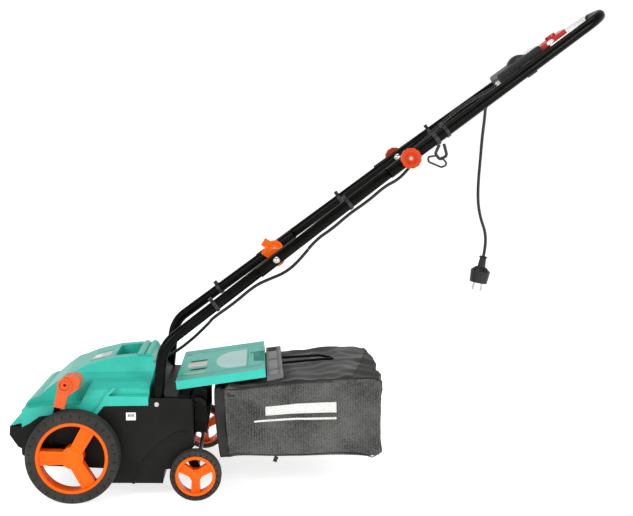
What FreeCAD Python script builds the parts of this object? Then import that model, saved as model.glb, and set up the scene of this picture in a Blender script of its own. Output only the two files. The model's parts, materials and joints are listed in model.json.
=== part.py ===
"""Electric lawn dethatcher: chassis, adjustable front wheels, tine roller, catch bag, folding handle.

+X points to the rear, -Y is the machine's left side, +Z is up and Z = 0 is the ground.
Shapes are drawn with the front axle at X = 0; every node is then moved forward by frame_shift,
which puts the origin under the middle of the whole machine.
"""
import FreeCAD, Part
import math
import os
import re

import Sketcher

Vector = FreeCAD.Vector
Rotation = FreeCAD.Rotation
Placement = FreeCAD.Placement
doc = FreeCAD.newDocument("dethatcher")
sheet = doc.addObject("Spreadsheet::Sheet", "sizes")

SIZES = {
    "frame_shift": 527.27,
    # wheels
    "front_wheel_d": 202, "front_wheel_w": 45, "front_wheel_y": 229.5, "front_rim_d": 156,
    "rear_wheel_d": 112, "rear_wheel_w": 34, "rear_wheel_y": 226, "rear_rim_d": 88,
    "wheelbase": 263, "wheel_z": 101, "stub_d": 12, "bore_gap": 0.05,
    "tread_cut_w": 2.4, "tread_cut_depth": 2.2, "tread_cuts": 30,
    # depth lever
    "pivot_x": -56, "pivot_z": 114, "crank_inner_y": 201, "crank_plate": 5,
    "lever_head_x": -14, "lever_head_z": 257, "lever_head_r": 15.5,
    # chassis
    "shell_half_w": 190, "cover_inner_y": 196, "cover_plate": 4, "wall": 4, "shell_top_z": 186,
    "hood_half_w": 198, "hood_wall": 3.5,
    # drive
    "motor_x": 75, "motor_z": 222, "motor_r": 35.4, "motor_len": 200,
    "roller_x": 122, "roller_z": 76, "roller_r": 16, "tine_tip_r": 58, "tine_wire_d": 3.6,
    "belt_y": 158, "belt_w": 12, "belt_t": 3, "drive_pulley_r": 18, "driven_pulley_r": 32,
    # flap
    "flap_x": 221, "flap_z": 237, "flap_len": 197, "flap_half_w": 186, "flap_h": 19, "flap_angle": 7.55,
    # handle
    "tube_d": 24, "grip_tube_d": 25, "tube_wall": 1.5, "handle_angle": 36.84, "grip_drop": 0.9, "handle_lean": 0.15,
    "foot_x": 177, "foot_z": 192, "bend_x": 192, "bend_z": 331.8, "foot_y": 183.4, "bend_r": 75,
    "lower_joint_s": 310.6, "lower_end_s": 368, "middle_start_s": 263, "upper_joint_s": 680,
    "middle_end_s": 734, "upper_start_s": 623, "grip_end_s": 1235, "joint_offset": 27.6,
    "grip_lean": 0.12, "grip_bend_r": 60, "joint_bolt_d": 8,
    # cables
    "cable_d": 7,
}
for row, (alias, number) in enumerate(SIZES.items(), start=1):
    sheet.set(f"A{row}", alias)
    sheet.set(f"B{row}", str(number))
    sheet.setAlias(f"B{row}", alias)
doc.recompute()


def size(alias):
    return float(getattr(sheet, alias))


def formula(text):
    """Makes 'front_wheel_d / 2' an expression that reads the sheet."""
    return re.sub(r"[a-z]\w*", lambda m: "sizes." + m.group() if m.group() in SIZES else m.group(), str(text))


def number(text):
    found = sheet.evalExpression(formula(text))
    return float(getattr(found, "Value", found))


def bind(obj, prop, value):
    obj.setExpression(prop, formula(value))


nodes = []


def node(obj, label):
    """Makes obj one named piece of the machine, moved into the machine's own frame."""
    obj.Label = label
    bound = dict((path.lstrip("."), text) for path, text in obj.ExpressionEngine)
    start = bound.get("Placement.Base.x", obj.Placement.Base.x)
    obj.setExpression("Placement.Base.x", f"{start} - sizes.frame_shift")
    nodes.append(obj)
    return obj


# ---- PartDesign helpers ----

def origin_plane(body, role):
    return next(f for f in body.Origin.OriginFeatures if f.Role == role)


def new_sketch(body, name, role, offset=0):
    sketch = body.newObject("Sketcher::SketchObject", name)
    sketch.AttachmentSupport = [(origin_plane(body, role), "")]
    sketch.MapMode = "FlatFace"
    bind(sketch, "AttachmentOffset.Base.z", offset)
    return sketch


def fix(sketch, kind, geo, pos, value):
    index = sketch.addConstraint(Sketcher.Constraint(kind, -1, 1, geo, pos, number(value)))
    sketch.setExpression(f"Constraints[{index}]", formula(value))


def draw_outline(sketch, points):
    """A closed outline of straight lines; each corner's two coordinates may be formulas."""
    corners = [Vector(number(a), number(b), 0) for a, b in points]
    count = len(points)
    first = None
    for i in range(count):
        geo = sketch.addGeometry(Part.LineSegment(corners[i], corners[(i + 1) % count]))
        first = geo if first is None else first
    for i in range(count):
        sketch.addConstraint(Sketcher.Constraint("Coincident", first + i, 2, first + (i + 1) % count, 1))
    for i, (a, b) in enumerate(points):
        fix(sketch, "DistanceX", first + i, 1, a)
        fix(sketch, "DistanceY", first + i, 1, b)


def draw_circle(sketch, a, b, radius):
    geo = sketch.addGeometry(Part.Circle(Vector(number(a), number(b), 0), Vector(0, 0, 1), number(radius)))
    fix(sketch, "DistanceX", geo, 3, a)
    fix(sketch, "DistanceY", geo, 3, b)
    index = sketch.addConstraint(Sketcher.Constraint("Radius", geo, number(radius)))
    sketch.setExpression(f"Constraints[{index}]", formula(radius))


def pad(body, sketch, length, midplane=False, reverse=False):
    feature = body.newObject("PartDesign::Pad", "pad")
    feature.Profile = sketch
    bind(feature, "Length", length)
    feature.Midplane = midplane
    feature.Reversed = reverse
    return feature


def pocket(body, sketch, length, midplane=False, reverse=False):
    feature = body.newObject("PartDesign::Pocket", "pocket")
    feature.Profile = sketch
    bind(feature, "Length", length)
    feature.Midplane = midplane
    feature.Reversed = reverse
    return feature


def revolve(body, sketch, axis="H_Axis"):
    feature = body.newObject("PartDesign::Revolution", "turn")
    feature.Profile = sketch
    feature.ReferenceAxis = (sketch, [axis])
    feature.Angle = 360
    return feature


def polar(body, features, count):
    """Repeats features around the body's own Y axis."""
    pattern = body.newObject("PartDesign::PolarPattern", "around")
    pattern.Originals = features
    pattern.Axis = (origin_plane(body, "Y_Axis"), [""])
    pattern.Angle = 360
    bind(pattern, "Occurrences", count)
    body.Tip = pattern
    return pattern


def plate(label, points, y0, y1, holes=()):
    """A flat piece drawn in the X-Z plane that spans y0 to y1; holes are (x, z, radius)."""
    body = doc.addObject("PartDesign::Body", label)
    sketch = new_sketch(body, "outline", "XZ_Plane", f"-({y0})")
    draw_outline(sketch, points)
    for x, z, r in holes:
        draw_circle(sketch, x, z, r)
    pad(body, sketch, f"({y1}) - ({y0})", reverse=True)
    return body


# ---- Part helpers ----

def box(x, y, z):
    """Each argument is (low, high); both may be formulas."""
    obj = doc.addObject("Part::Box", "block")
    for prop, side, (low, high) in (("Length", "x", x), ("Width", "y", y), ("Height", "z", z)):
        bind(obj, prop, f"({high}) - ({low})")
        bind(obj, f"Placement.Base.{side}", low)
    return obj


def rod(x, y0, y1, z, radius):
    """A cylinder along Y."""
    obj = doc.addObject("Part::Cylinder", "rod")
    bind(obj, "Radius", radius)
    bind(obj, "Height", f"({y1}) - ({y0})")
    obj.Placement = Placement(Vector(), Rotation(Vector(1, 0, 0), -90))
    for side, value in (("x", x), ("y", y0), ("z", z)):
        bind(obj, f"Placement.Base.{side}", value)
    return obj


def fuse(*parts):
    if len(parts) == 1:
        return parts[0]
    obj = doc.addObject("Part::MultiFuse", "joined")
    obj.Shapes = list(parts)
    return obj


def cut(base, *tools):
    obj = doc.addObject("Part::Cut", "cut")
    obj.Base = base
    obj.Tool = fuse(*tools)
    return obj


def common(a, b):
    obj = doc.addObject("Part::Common", "shared")
    obj.Base = a
    obj.Tool = b
    return obj


def mirrored(obj):
    """The same piece on the machine's right side."""
    twin = doc.addObject("Part::Mirroring", "mirrored")
    twin.Source = obj
    twin.Base = Vector(0, 0, 0)
    twin.Normal = Vector(0, 1, 0)
    return twin


def group(*parts):
    """Separate solids that share one node."""
    obj = doc.addObject("Part::Compound", "group")
    obj.Links = list(parts)
    return obj


def shaped(label, shape):
    obj = doc.addObject("Part::Feature", label)
    obj.Shape = shape
    return obj


def rounded(points, radii):
    """Wire of straight runs joined by tangent arcs; radii has one value per inner corner."""
    edges = []
    start = points[0]
    for i in range(1, len(points) - 1):
        before = (points[i - 1] - points[i]).normalize()
        after = (points[i + 1] - points[i]).normalize()
        half = before.getAngle(after) / 2
        reach = radii[i - 1] / math.tan(half)
        middle = (before + after).normalize()
        centre = points[i] + middle * (radii[i - 1] / math.sin(half))
        a = points[i] + before * reach
        b = points[i] + after * reach
        top = centre - middle * radii[i - 1]
        edges.append(Part.LineSegment(start, a).toShape())
        edges.append(Part.Arc(a, top, b).toShape())
        start = b
    edges.append(Part.LineSegment(start, points[-1]).toShape())
    return Part.Wire(edges)


def arc_radii(points):
    """The largest tangent arcs that suit a free cord: 0.45 of the shorter run at each corner."""
    radii = []
    for a, b, c in zip(points, points[1:], points[2:]):
        turn = (b - a).getAngle(c - b)
        radii.append(0.45 * min((b - a).Length, (c - b).Length) / math.tan(turn / 2))
    return radii


def swept(points, radii, outer_r, inner_r=0):
    """A round tube or rod along a rounded path."""
    wire = rounded(points, radii)
    start = points[0]
    direction = (points[1] - points[0]).normalize()

    def sweep(r):
        circle = Part.Wire([Part.Circle(start, direction, r).toShape()])
        return Part.Wire(wire.Edges).makePipeShell([circle], True, False)

    solid = sweep(outer_r)
    if inner_r:
        solid = solid.cut(sweep(inner_r))
    return solid


# ---- Wheels ----

def tyre(label, wheel_d, rim_d, width, cuts):
    """Black tyre with square shoulders and short radial cuts at both edges of the tread."""
    body = doc.addObject("PartDesign::Body", label)
    section = new_sketch(body, "section", "YZ_Plane")
    half = f"{width} / 2"
    draw_outline(section, [
        (f"-{half}", f"{rim_d} / 2"), (f"-{half}", f"{wheel_d} / 2 - 7"), (f"-{half} + 3", f"{wheel_d} / 2 - 2"),
        (f"-{half} + 8", f"{wheel_d} / 2"), (f"{half} - 8", f"{wheel_d} / 2"),
        (f"{half} - 3", f"{wheel_d} / 2 - 2"), (f"{half}", f"{wheel_d} / 2 - 7"), (f"{half}", f"{rim_d} / 2")])
    revolve(body, section)
    made = []
    for side in (1, -1):
        sketch = new_sketch(body, "tread_cut", "XZ_Plane", f"{side} * {half}")
        draw_outline(sketch, [("-tread_cut_w / 2", f"{wheel_d} / 2 - 13"), ("tread_cut_w / 2", f"{wheel_d} / 2 - 13"),
                              ("tread_cut_w / 2", f"{wheel_d} / 2 + 1"), ("-tread_cut_w / 2", f"{wheel_d} / 2 + 1")])
        made.append(pocket(body, sketch, "tread_cut_depth", reverse=side < 0))
    polar(body, made, cuts)
    return body


def rim(label, rim_d, width, spoke_w, hub_r, bore_d, angle):
    """Three-spoked plastic rim; its decorated face looks along local -Y."""
    body = doc.addObject("PartDesign::Body", label)
    ring = new_sketch(body, "ring", "YZ_Plane")
    half = f"{width} / 2"
    draw_outline(ring, [
        (f"-{half} + 1", f"{rim_d} / 2"), (f"-{half} - 1", f"{rim_d} / 2 - 1.5"), (f"-{half} - 1", f"{rim_d} / 2 - 6"),
        (f"-{half} + 1", f"{rim_d} / 2 - 7.5"), (f"{half} - 1", f"{rim_d} / 2 - 5"), (f"{half} - 1", f"{rim_d} / 2")])
    revolve(body, ring)
    hub = new_sketch(body, "hub", "YZ_Plane")
    draw_outline(hub, [
        (f"-{half} + 1.5", 0), (f"-{half} + 1.5", f"{hub_r} * 0.62"), (f"-{half} + 3", f"{hub_r} * 0.8"),
        (f"-{half} + 4", f"{hub_r} * 0.82"), (f"-{half} + 4.5", hub_r), (f"{half} - 1", f"{hub_r} - 1"),
        (f"{half} - 1", 0)])
    revolve(body, hub)
    spoke = new_sketch(body, "spoke", "XZ_Plane", f"{half} - 5")
    a, b = f"{hub_r} * 0.7", f"{rim_d} / 2 - 4"
    draw_outline(spoke, [(f"-{spoke_w} / 2", a), (f"{spoke_w} / 2", a), (f"{spoke_w} / 2 + 2", b), (f"-{spoke_w} / 2 - 2", b)])
    arm = pad(body, spoke, f"{width} * 0.55", reverse=True)
    arms = polar(body, [arm], 3)
    inset = new_sketch(body, "inset", "XZ_Plane", f"{half} - 5")
    draw_outline(inset, [(f"-{spoke_w} / 2 + 5", f"{hub_r} + 5"), (f"{spoke_w} / 2 - 5", f"{hub_r} + 5"),
                         (f"{spoke_w} / 2 - 4", f"{rim_d} / 2 - 12"), (f"-{spoke_w} / 2 + 4", f"{rim_d} / 2 - 12")])
    polar(body, [pocket(body, inset, 1.2)], 3)
    bore = new_sketch(body, "bore", "XZ_Plane", f"-{half} + 1")
    draw_circle(bore, 0, 0, f"{bore_d} / 2 + bore_gap")
    hole = pocket(body, bore, f"{width} - 9", reverse=True)
    body.Tip = hole
    body.Placement = Placement(Vector(), Rotation(Vector(0, 1, 0), angle))
    return body


def place_wheel(body, x, y, z):
    """Moves a wheel piece to its axle; pieces on the right side face outwards too."""
    turned = body.Placement.Rotation
    if number(y) > 0:
        turned = Rotation(Vector(0, 0, 1), 180) * turned
    body.Placement = Placement(Vector(number(x), number(y), number(z)), turned)
    bind(body, "Placement.Base.y", y)
    bind(body, "Placement.Base.z", z)


def wheels():
    for side, sign in (("left", -1), ("right", 1)):
        for end, x, z, spoke, hub, cuts, angle in (
                ("front", "0", "wheel_z", 28, 24, "tread_cuts", -90), ("rear", "wheelbase", "rear_wheel_d / 2", 17, 13, 24, 180)):
            d, w, rim_d, y = (f"{end}_{what}" for what in ("wheel_d", "wheel_w", "rim_d", "wheel_y"))
            for body in (tyre(f"{end}_tyre_{side}", d, rim_d, w, cuts),
                         rim(f"{end}_rim_{side}", rim_d, w, spoke, hub, "stub_d" if end == "front" else 10, angle)):
                place_wheel(body, x, f"{sign} * {y}", z)
                bind(body, "Placement.Base.x", f"({x}) - frame_shift")
                nodes.append(body)


def depth_adjuster():
    """Cross shaft with a crank at each end; the left crank also carries the depth lever."""
    px, pz = "pivot_x", "pivot_z"
    stub = "stub_d / 2"
    pieces = [rod(px, "-crank_inner_y - 0.5", "crank_inner_y + 0.5", pz, 8)]
    arm = [(-66, 108), (-58, 102), (4, 90), (12, 98), (10, 110), (2, 113), (-46, 124), (-60, 124)]
    for sign in (-1, 1):
        inner, outer = "crank_inner_y", "crank_inner_y + crank_plate"
        low, high = (f"-({outer})", f"-({inner})") if sign < 0 else (inner, outer)
        pieces.append(plate("crank", arm, low, high))
        tip = "front_wheel_y + front_wheel_w / 2 - 12"
        low, high = (f"-({tip})", f"-({inner}) - 1") if sign < 0 else (f"({inner}) + 1", tip)
        pieces.append(rod(0, low, high, "wheel_z", stub))
    upright = [(-64, 118), (-48, 118), (-22, 232), (-34, 236)]
    pieces.append(plate("upright", upright, "-(crank_inner_y + crank_plate)", "-crank_inner_y"))
    node(fuse(*pieces), "front_crank_axle")
    grip = plate("grip", [(-39, 210), (-17, 205), (-8, 234), (16, 250), (12, 276), (-12, 272), (-29, 254)],
                 "-234", "-(crank_inner_y + crank_plate)")
    heads = [rod("lever_head_x", -240, -192, "lever_head_z", "lever_head_r"),
             rod("lever_head_x + 18", -236, -188, "lever_head_z + 6", "lever_head_r - 1")]
    grip = fuse(grip, *heads, box((-14, 4), (-236, -192), (249, 276)))
    head = rod(-28, -236, -232, 219, 4)
    recess = rod("lever_head_x", -241, -235, "lever_head_z", "lever_head_r - 3.5")
    eye = rod("lever_head_x", -240, -226, "lever_head_z", 3.5)
    node(cut(fuse(grip, head), recess, eye), "depth_lever")


# ---- Chassis ----

def both_sides(obj):
    """The piece itself and its mirror image, joined."""
    return fuse(obj, mirrored(obj))


def chassis():
    top = "shell_top_z"
    profile = [(-117, 98), (-117, 152), (-106, 152), (-104, top), (160.6, top), (160.6, 208), (224, 208), (258, 208),
               (258, 112), (242, 104), (234, 64), (194, 62), (190, 32), (80, 34), (66, 62), (-60, 70), (-100, 84)]
    shell = doc.addObject("PartDesign::Body", "shell")
    outline = new_sketch(shell, "outline", "XZ_Plane")
    draw_outline(outline, profile)
    pad(shell, outline, "2 * shell_half_w", midplane=True)
    chamber = new_sketch(shell, "chamber", "XZ_Plane")
    draw_outline(chamber, [(-40, 20), (-40, f"{top} - 40"), (20, f"{top} - wall"), (154, f"{top} - wall"), (240, 190),
                           (262, 196), (262, 128), (232, 112), (222, 76), (184, 72), (180, 20)])
    pocket(shell, chamber, "2 * (shell_half_w - wall)", midplane=True)
    nose_gap = plate("gap", [(-100, 102), (-102, 148), (-92, 172), (-50, 172), (-50, 92)], "-shell_half_w + 8",
                     "shell_half_w - 8")
    pivot = rod("pivot_x", "-shell_half_w - 1", "shell_half_w + 1", "pivot_z", 8.05)
    bearings = rod("roller_x", "-shell_half_w - 1", "shell_half_w + 1", "roller_z", 20)
    belt_slot = box((40, 170), ("belt_y - belt_w", "belt_y + belt_w"), ("shell_top_z - 12", "shell_top_z + 1"))
    foot_slots = both_sides(box((164.6, 191.6), ("-shell_half_w - 1", "-foot_y + 12.4"), (188, 225)))
    bracket = plate("bracket", [(226, 118), (248, 118), ("wheelbase + 9", 62), ("wheelbase + 8", 48),
                                ("wheelbase - 8", 46), ("wheelbase - 12", 60)], "-shell_half_w", "-shell_half_w + 8")
    axle_hole = rod("wheelbase", "-shell_half_w - 1", "shell_half_w + 1", "rear_wheel_d / 2", 5)
    node(cut(fuse(shell, bracket, mirrored(bracket)), nose_gap, pivot, bearings, belt_slot, foot_slots, axle_hole),
         "chassis_shell")

    side = [(-114, 98), (-114, 157), (-97, 166), (-76, 181), (-50, 184), (40, 184), (66, 203.2), (161, 203.2),
            (161, 220), (254, 216.5), (259, 112), (246, 102), (236, 63), (194, 61), (190, 30), (78, 32), (60, 66),
            (-60, 72), (-96, 84)]
    ridge = [(128, 30), (150, 74), (183, 113), (220, 137), (245, 144), (245, 148), (219, 142), (180, 118),
             (145, 78), (123, 30)]
    cover = plate("cover", side, "-(cover_inner_y + cover_plate)", "-cover_inner_y",
                  [("pivot_x", "pivot_z", 8.05), ("foot_x + 1", 206, 4)])
    rib = plate("rib", ridge, "-(cover_inner_y + cover_plate + 2.5)", "-(cover_inner_y + cover_plate) + 0.5")
    left = fuse(cover, rib)
    node(mirrored(left), "side_cover_right")
    node(group(left), "side_cover_left")

    nose = plate("nose", [(-146.6, 153), (-148, 134), (-130, 107), (-117.3, 100), (-117.3, 153)], -165, 165)
    node(nose, "front_bumper")
    deck = plate("deck", [(168, 208.3), (168, 240), (174, 240), (188, 222), (222, 219), (246, 214), (246, 208.3)], -187, 187)
    node(cut(deck, both_sides(box((165, 193.5), (-203, "-foot_y + 12.6"), (200, 245)))), "rear_deck")
    chute = cut(box((258.3, 285), (-150, 150), (131, 230)), box((257, 286), (-145, 145), (136, 225)))
    hook = plate("hook", [(259, 214), (272, 214), (284, 206), (284, 196), (276, 196), (274, 204), (259, 206)],
                 -172, -160)
    node(fuse(chute, both_sides(hook), both_sides(box((262, 284), (-161, -148), (196, 203)))), "discharge_chute")


def hood_solid(inset, low):
    """Outer form of the hood, or its inner face when inset is the wall thickness."""
    t = inset
    crest = [(-107, 208), (-94, 214), (-86, 215), (-62, 236), (-34, 256), (17, 278), (72, 292), (120, 296),
             (160, 293), (168, 272), (162, 240)]
    side = [(-114 + t, 199 - t)] + [(x + (t if x < 100 else -t), z - t) for x, z in crest] + [(160 - t, 203.6 - low),
            (66, 203.6 - low), (40, 184.4 - low), (-50, 184.4 - low), (-76, 181.4 - low), (-97, 166.4 - low), (-114 + t, 158 - low)]
    front = [(198 - t, 150 - low), (198 - t, 222), (191 - t, 238 - t), (168 - t / 2, 249.5 - t), (142 - t / 2, 255 - t),
             (122 - t / 2, 264 - t), (108 - t / 2, 279 - t), (98 - t / 2, 297 - t), (86, 301 - t)]
    front = front + [(-y, z) for y, z in reversed(front)]
    along = plate("hood_side", side, -210, 210)
    across = doc.addObject("PartDesign::Body", "hood_front")
    sketch = new_sketch(across, "front", "YZ_Plane")
    draw_outline(sketch, front)
    pad(across, sketch, 400, midplane=True)
    fender = plate("over_fender", [(-130, 195 - t), (-114, 196 - t), (-60, 205 - t), (12 + t, 206 - t), (37 + t, 256),
                                   (37 + t, 330), (-130, 330)], -260, -152 + t)
    ledge = plate("ledge", [(74 - t, 226 - t), (91 - t, 243 + t), (170, 236 + t), (170, 225 - t)], -260, -188 + t)
    return cut(common(along, across), both_sides(fender), both_sides(ledge))


def hood():
    """Moulded cover over the motor: carry recess and two ribs on top, scoops and ledges on the flanks."""
    shell = cut(hood_solid(0, 0), hood_solid(size("hood_wall"), 1))
    mouth = box((75, 125), (-70, 70), (271, 310))
    tub = cut(box((72, 128), (-73, 73), (268, 292)), mouth)
    ribs = [rod(x, -90, 90, 291.5, 9) for x in (134, 152)]
    ribs = [common(fuse(*ribs), box((110, 166), (-94, 94), (289, 305)))]
    strip = plate("strip", [(62, 204), (72, 226), (160, 223), (160, 204)], -203, -194.8)
    brace = plate("brace", [(39, 186), (45, 181), (64, 204), (74, 226), (91, 243.5), (84, 243.5), (66, 226), (56, 208)],
                  -203, -200.3)
    brace_root = plate("brace_root", [(56, 208), (64, 206), (74, 226), (91, 243.5), (84, 243.5), (66, 226)], -201, -188)
    brow = plate("brow", [(-146.8, 153.6), (-131, 171), (-112, 177), (-112, 158.6), (-126, 158.6)], -165, 165)
    sides = both_sides(fuse(strip, brace, brace_root))
    slots = [cut_slot(x, y) for x, y in ((28, 18), (16, -64))]
    lead_hole = Part.makeCylinder(3.9, 60, Vector(143, -20, 257.9), Vector(44, 0, 20))
    node(cut(fuse(cut(shell, mouth), tub, *ribs, sides, brow), *slots, shaped("lead_hole", lead_hole)), "motor_hood")
    screws = [rod_z(x, y, 186.2, 189, 5) for x, y in ((-80, -150), (-80, 150), (140, -120), (140, 120))]
    node(group(*screws), "hood_screws")


def cut_slot(x, y):
    """Shallow slot that follows the slope of the hood's front."""
    slot = Part.makeBox(36, 7, 8)
    slot.rotate(Vector(0, 0, 0), Vector(0, -1, 0), 15)
    slot.translate(Vector(x, y, 274.4 + (x - 10) * 0.27))
    return shaped("slot", slot)


def rod_z(x, y, z0, z1, radius):
    obj = doc.addObject("Part::Cylinder", "screw")
    bind(obj, "Radius", radius)
    bind(obj, "Height", f"({z1}) - ({z0})")
    for side, value in (("x", x), ("y", y), ("z", z0)):
        bind(obj, f"Placement.Base.{side}", value)
    return obj


# ---- Drive ----

def belt_loop(radius_gap):
    """Wire round both pulleys, radius_gap outside their faces."""
    a = Vector(size("motor_x"), 0, size("motor_z"))
    b = Vector(size("roller_x"), 0, size("roller_z"))
    ra = size("drive_pulley_r") + radius_gap
    rb = size("driven_pulley_r") + radius_gap
    line = b - a
    lean = math.asin((rb - ra) / line.Length)
    base = math.atan2(line.z, line.x)
    sides = []
    for sign in (1, -1):
        angle = base + sign * (math.pi / 2 + lean)
        out = Vector(math.cos(angle), 0, math.sin(angle))
        sides.append((a + out * ra, b + out * rb))
    (a1, b1), (a2, b2) = sides
    unit = line.normalize()
    return Part.Wire([Part.LineSegment(a1, b1).toShape(), Part.Arc(b1, b + unit * rb, b2).toShape(),
                      Part.LineSegment(b2, a2).toShape(), Part.Arc(a2, a - unit * ra, a1).toShape()])


def drive():
    half = "motor_len / 2"
    can = rod("motor_x", f"-{half}", f"{half} - 30", "motor_z", "motor_r")
    nose = rod("motor_x", f"{half} - 31", half, "motor_z", 24)
    shaft_hole = rod("motor_x", f"-{half} - 1", f"{half} + 1", "motor_z", 6.05)
    feet = box(("motor_x - 33", "motor_x + 33"), (-70, 50), (186.3, 205))
    node(cut(fuse(can, nose, feet), shaft_hole), "motor_housing")
    node(rod("motor_x", f"-{half} + 5", "belt_y + belt_w / 2 + 4", "motor_z", 6), "rotor_shaft")
    low, high = "belt_y - belt_w / 2 - 1", "belt_y + belt_w / 2 + 1"
    node(cut(rod("motor_x", low, high, "motor_z", "drive_pulley_r"), rod("motor_x", "100", "190", "motor_z", 6)),
         "drive_pulley")
    outer, inner = (Part.Face(belt_loop(gap)) for gap in (0.3 + size("belt_t"), 0.3))
    ring = outer.cut(inner).extrude(Vector(0, size("belt_w"), 0))
    ring.translate(Vector(0, size("belt_y") - size("belt_w") / 2, 0))
    node(shaped("belt", ring), "drive_belt")
    node(rod("roller_x", -176, 176, "roller_z", "roller_r - 4"), "roller_shaft")
    node(cut(rod("roller_x", low, high, "roller_z", "driven_pulley_r"),
             rod("roller_x", 100, 190, "roller_z", "roller_r - 4")), "driven_pulley")
    rings = []
    for sign in (-1, 1):
        low, high = ("-shell_half_w + 1", -178) if sign < 0 else (178, "shell_half_w - 1")
        rings.append(rod("roller_x", low, high, "roller_z", 19.8))
    caps = [cut(ring, rod("roller_x", -170, 170, "roller_z", 6)) for ring in rings]
    node(group(*caps), "roller_bearings")
    core = size("roller_r") - 4
    tines = []
    for i in range(20):
        y = -165 + i * 15.5
        for k in range(2):
            angle = math.radians(i * 54 + k * 180)
            out = Vector(math.cos(angle), 0, math.sin(angle))
            back = Vector(-math.sin(angle), 0, math.cos(angle))
            centre = Vector(size("roller_x"), y, size("roller_z"))
            root = centre + out * (core - 2)
            knee = centre + out * (size("tine_tip_r") - 16)
            tip = centre + out * (size("tine_tip_r") - 1) + back * 9
            tines.append(swept([root, knee, tip], [12], size("tine_wire_d") / 2))
    node(shaped("tines", Part.Compound(tines)), "tine_springs")
    node(rod("wheelbase", "-(rear_wheel_y + rear_wheel_w / 2 - 10)", "rear_wheel_y + rear_wheel_w / 2 - 10",
             "rear_wheel_d / 2", 5), "rear_axle")


# ---- Flap ----

def flap():
    """Shallow lid, hinged at its front edge, drawn flat and then tilted about the hinge."""
    body = doc.addObject("PartDesign::Body", "lid")
    outline = new_sketch(body, "outline", "XY_Plane", "-2")
    draw_outline(outline, [(0, "-flap_half_w"), ("flap_len", "-flap_half_w"), ("flap_len", "flap_half_w"),
                           (0, "flap_half_w")])
    pad(body, outline, "flap_h")
    hollow = new_sketch(body, "hollow", "XY_Plane", "-2")
    draw_outline(hollow, [(3, "-flap_half_w + 3"), ("flap_len - 3", "-flap_half_w + 3"),
                          ("flap_len - 3", "flap_half_w - 3"), (3, "flap_half_w - 3")])
    pocket(body, hollow, "flap_h - 3", reverse=True)
    grip = new_sketch(body, "grip", "XY_Plane", "flap_h - 2")
    draw_outline(grip, [("flap_len - 34", -20), ("flap_len - 12", -20), ("flap_len - 12", 50), ("flap_len - 34", 50)])
    pocket(body, grip, 1.5)
    body.Placement = Placement(Vector(), Rotation(Vector(0, -1, 0), size("flap_angle")))
    barrel = rod("flap_x + 6", -120, 120, "flap_z + 4", 6)
    bind(body, "Placement.Base.x", "flap_x")
    bind(body, "Placement.Base.z", "flap_z")
    eye = rod("flap_x + 6", -140, 140, "flap_z + 4", 3.05)
    notches = both_sides(box((205, "flap_x + 18"), (-131, -121), (220, 270)))
    node(cut(fuse(body, barrel), eye, notches), "rear_flap")
    pin = rod("flap_x + 6", -135, 135, "flap_z + 4", 3)
    posts = [box(("flap_x + 1", "flap_x + 11"), (low, low + 8), (219.3, "flap_z + 8")) for low in (-130, 122)]
    holes = rod("flap_x + 6", -136, 136, "flap_z + 4", 3)
    node(pin, "flap_hinge_pin")
    node(group(*[cut(post, holes) for post in posts]), "flap_hinge_posts")


# ---- Handle ----

def low_line(s, y):
    """The point s millimetres up the line of the two lower stages, from the lower bend."""
    angle = math.radians(size("handle_angle"))
    return Vector(size("bend_x") + s * math.cos(angle), y, size("bend_z") + s * math.sin(angle))


def grip_line(s, y):
    """The same for the upper stage, which leans grip_drop lower from the upper joint."""
    angle = math.radians(size("handle_angle") - size("grip_drop"))
    past = s - size("upper_joint_s")
    return low_line(size("upper_joint_s"), y) + Vector(past * math.cos(angle), 0, past * math.sin(angle))


def on_handle(s, y):
    return grip_line(s, y) if s > size("upper_joint_s") else low_line(s, y)


def angle_at(s):
    return size("handle_angle") - (size("grip_drop") if s > size("upper_joint_s") else 0)


def lower_y(s):
    return size("foot_y") - size("handle_lean") * s


def middle_y(s):
    return lower_y(s) + size("joint_offset")


def grip_y(s):
    joint = size("upper_joint_s")
    return middle_y(joint) + size("joint_offset") - size("grip_lean") * (s - joint)


def tube_hole(s, radius):
    """Cutter for a bolt hole through every tube at a joint."""
    centre = on_handle(s, -260)
    return Part.makeCylinder(radius, 520, centre, Vector(0, 1, 0))


def mirror_y(shape):
    return shape.mirror(Vector(0, 0, 0), Vector(0, 1, 0))


def side_pair(label, shape):
    """One node per side: shape is the left one."""
    node(shaped(label, shape), f"{label}_left")
    node(shaped(label, mirror_y(shape)), f"{label}_right")


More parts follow.
